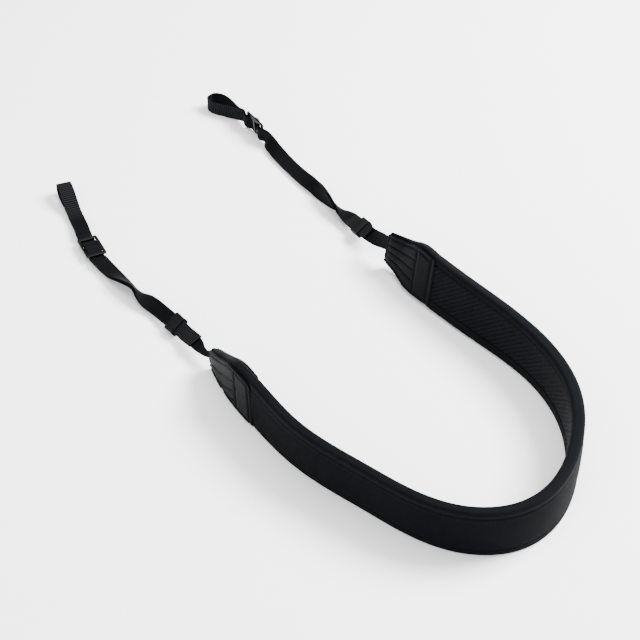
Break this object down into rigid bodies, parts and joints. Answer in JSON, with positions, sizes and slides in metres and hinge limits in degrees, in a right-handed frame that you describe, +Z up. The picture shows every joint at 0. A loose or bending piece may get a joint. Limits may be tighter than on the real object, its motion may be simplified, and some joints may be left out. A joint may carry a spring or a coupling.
{
  "type": "camera neck strap",
  "caption": "Padded camera neck strap lying in a U, its band on edge, with leather end tabs, doubled webbing, keepers, sliders and a lug loop at each end.",
  "frame": {"origin": "middle of the whole strap's box in plan, on the floor that it lies on", "axes": "+Z up from the floor; the strap's two webbing ends point towards +Y and -X, the closed turn of the band lies towards +X and -Y"},
  "size_m": [0.384, 0.5154, 0.0391],
  "materials": {
    "neoprene": "matte black neoprene with a fine knitted face",
    "binding": "matte black ribbed edge binding",
    "grip": "matte black panel with fine cross ribs",
    "leather": "satin black grained leather with stitched channels",
    "webbing": "matte black woven webbing",
    "keeper_plastic": "satin black moulded plastic",
    "slider_plastic": "glossy black moulded plastic"
  },
  "bodies": {
    "root": {"neck_pad": "neoprene", "upper_binding": "binding", "lower_binding": "binding", "grip_panel": "grip", "outer_tab_left": "leather", "outer_tab_right": "leather", "inner_tab_left": "leather", "inner_tab_right": "leather", "webbing_left": "webbing", "webbing_right": "webbing", "keeper_left": "keeper_plastic", "keeper_right": "keeper_plastic", "slider_left": "slider_plastic", "slider_right": "slider_plastic"}
  },
  "joints": []
}
